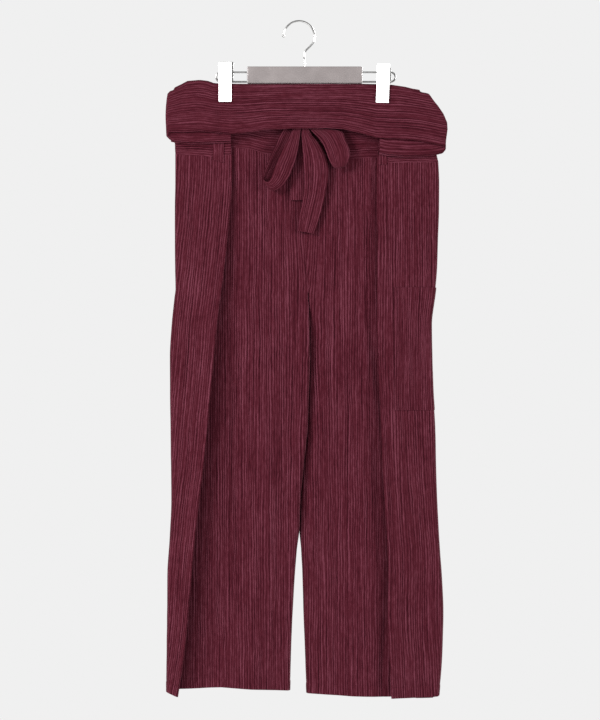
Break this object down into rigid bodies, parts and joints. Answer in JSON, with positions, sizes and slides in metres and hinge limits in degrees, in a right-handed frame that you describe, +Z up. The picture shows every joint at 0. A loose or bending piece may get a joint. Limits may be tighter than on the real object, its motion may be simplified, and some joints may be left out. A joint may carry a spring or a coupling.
{
  "type": "fisherman pants on a clip hanger",
  "caption": "Wide-leg fisherman pants in striped cotton, with side pleats and the waistband folded down over a tied bow, hanging flat from a clip hanger.",
  "frame": {"origin": "the underside of the hook's crown, where the hanger hangs on its rail or peg", "axes": "+X to the right seen from the front, -Y out of the front of the trousers, +Z up"},
  "size_m": [0.465, 0.0568, 1.1225],
  "materials": {
    "cloth": "matt crinkled cotton with fine woven stripes",
    "wire_steel": "bright plated steel wire and sheet",
    "bar_plastic": "smooth warm grey moulded plastic",
    "clip_plastic": "plain white moulded plastic"
  },
  "bodies": {
    "root": {"hanger_hook": "wire_steel", "hanger_bar": "bar_plastic", "hanger_wire_left": "wire_steel", "hanger_wire_right": "wire_steel", "clip_left_front_jaw": "clip_plastic", "clip_left_back_jaw": "clip_plastic", "clip_left_spring": "wire_steel", "clip_right_front_jaw": "clip_plastic", "clip_right_back_jaw": "clip_plastic", "clip_right_spring": "wire_steel", "waistband_front": "cloth", "waistband_back": "cloth", "leg_front_left": "cloth", "leg_back_left": "cloth", "leg_front_right": "cloth", "leg_back_right": "cloth", "pocket_right": "cloth", "belt_loop_left": "cloth", "belt_loop_right": "cloth", "tie_band": "cloth", "tie_knot": "cloth", "tie_loop_left": "cloth", "tie_loop_right": "cloth", "tie_tail_front": "cloth", "tie_tail_back": "cloth"}
  },
  "joints": []
}
